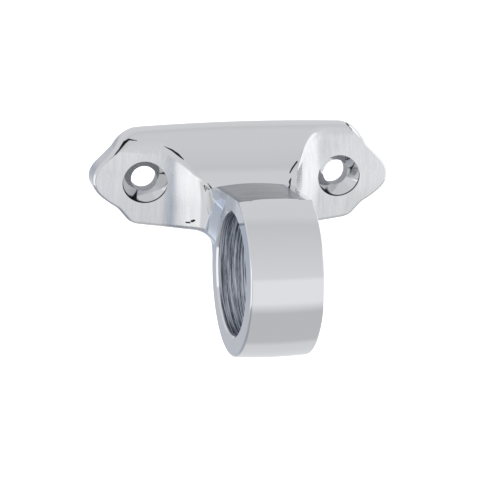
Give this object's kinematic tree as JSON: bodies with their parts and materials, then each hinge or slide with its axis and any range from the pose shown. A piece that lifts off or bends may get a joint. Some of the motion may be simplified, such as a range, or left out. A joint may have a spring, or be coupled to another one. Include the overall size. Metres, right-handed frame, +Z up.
{
  "type": "fairlead chock",
  "caption": "Wall-mounted ring bracket: a plate with round noses and countersunk screw holes carries a closed ring below and in front of it, to lead a rope or hold a round rail.",
  "frame": {"origin": "on the back face of the plate, midway between the screw holes", "axes": "+X along the plate and along the bore of the ring, -Y out of the wall towards the ring, +Z up"},
  "size_m": [0.064, 0.045, 0.0423],
  "materials": {
    "polished_casting": "polished, with wing faces ground along the height of the plate",
    "turned_ring": "polished outside, coarse turned marks in the bore",
    "dressed_fillet": "dressed flat, with marks along the plate"
  },
  "bodies": {
    "root": {"bracket": "polished_casting", "ring": "turned_ring", "braze_fillet": "dressed_fillet"}
  },
  "joints": []
}
